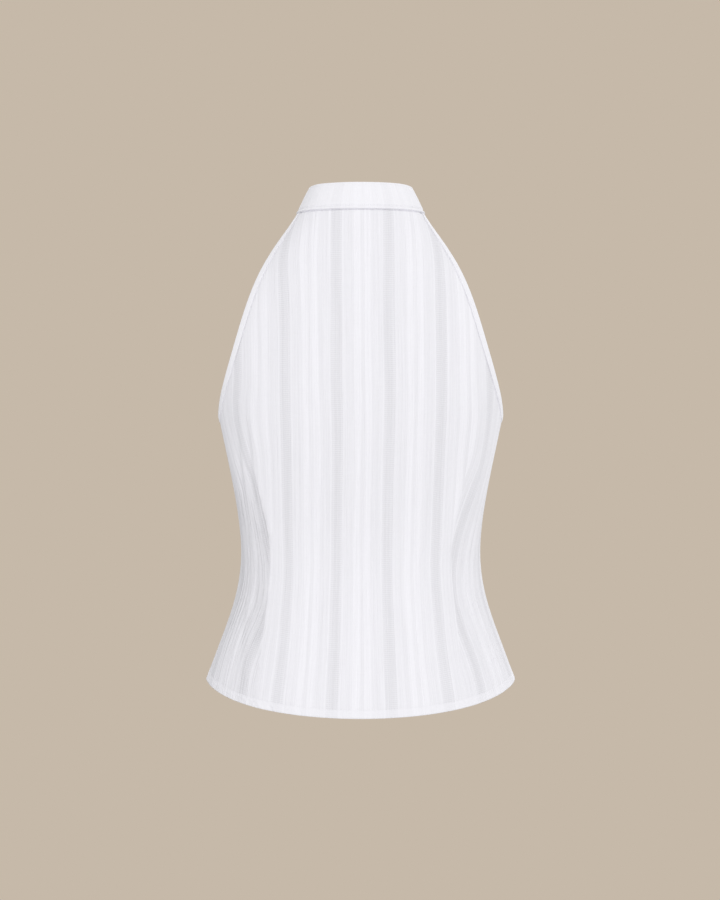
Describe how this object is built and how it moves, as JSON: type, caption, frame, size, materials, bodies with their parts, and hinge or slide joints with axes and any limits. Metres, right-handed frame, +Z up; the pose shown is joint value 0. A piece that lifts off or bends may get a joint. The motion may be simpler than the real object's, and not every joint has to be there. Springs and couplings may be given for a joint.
{
  "type": "sleeveless top",
  "caption": "Sleeveless halter-neck top of striped cotton, with a stand collar, bound armholes, a waist shaped by darts and a buttoned front, hollow and filled out as when worn.",
  "frame": {"origin": "middle of the collar's seam ring, level with the seam at the sides of the neck", "axes": "+Z up as worn, +Y towards the garment's front, +X towards the wearer's right"},
  "size_m": [0.343, 0.2469, 0.5688],
  "materials": {
    "striped_cloth": "crisp white cotton with woven pale grey and white stripes, matt",
    "collar_cloth": "the same cotton in two layers on interfacing, stripes fainter, topstitched",
    "binding_cloth": "plain white cotton cut on the bias, smooth",
    "button_shell": "white shirt button with a soft pearly gloss"
  },
  "bodies": {
    "root": {"back_panel": "striped_cloth", "front_right": "striped_cloth", "front_left": "striped_cloth", "collar": "collar_cloth", "armhole_binding_right": "binding_cloth", "armhole_binding_left": "binding_cloth", "button_collar": "button_shell", "button_front_1": "button_shell", "button_front_2": "button_shell", "button_front_3": "button_shell", "button_front_4": "button_shell", "button_front_5": "button_shell", "button_front_6": "button_shell", "button_front_7": "button_shell"}
  },
  "joints": []
}
